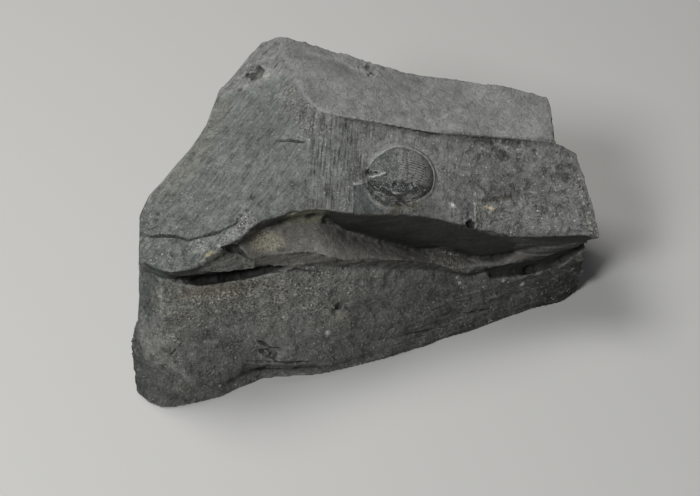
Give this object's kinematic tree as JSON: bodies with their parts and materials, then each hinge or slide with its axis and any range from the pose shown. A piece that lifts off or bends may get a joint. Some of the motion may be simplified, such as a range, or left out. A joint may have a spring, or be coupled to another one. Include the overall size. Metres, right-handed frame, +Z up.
{
  "type": "trilobite fossil",
  "caption": "Rolled-up trilobite standing half out of the sloping face of a broken block of dark bedded mudstone, over an overhanging lip; the block lies on a flat base.",
  "frame": {"origin": "middle of the flat base that the block rests on", "axes": "+X along the block to its thin end, +Y from the broken front to the back, +Z up from the base"},
  "size_m": [0.1538, 0.0962, 0.0796],
  "materials": {
    "mudstone": "dull, broken, dusty on the upper faces",
    "shell": "fine-ribbed, with a dark waxy gloss on the head"
  },
  "bodies": {
    "root": {"matrix": "mudstone", "trilobite": "shell"}
  },
  "joints": []
}
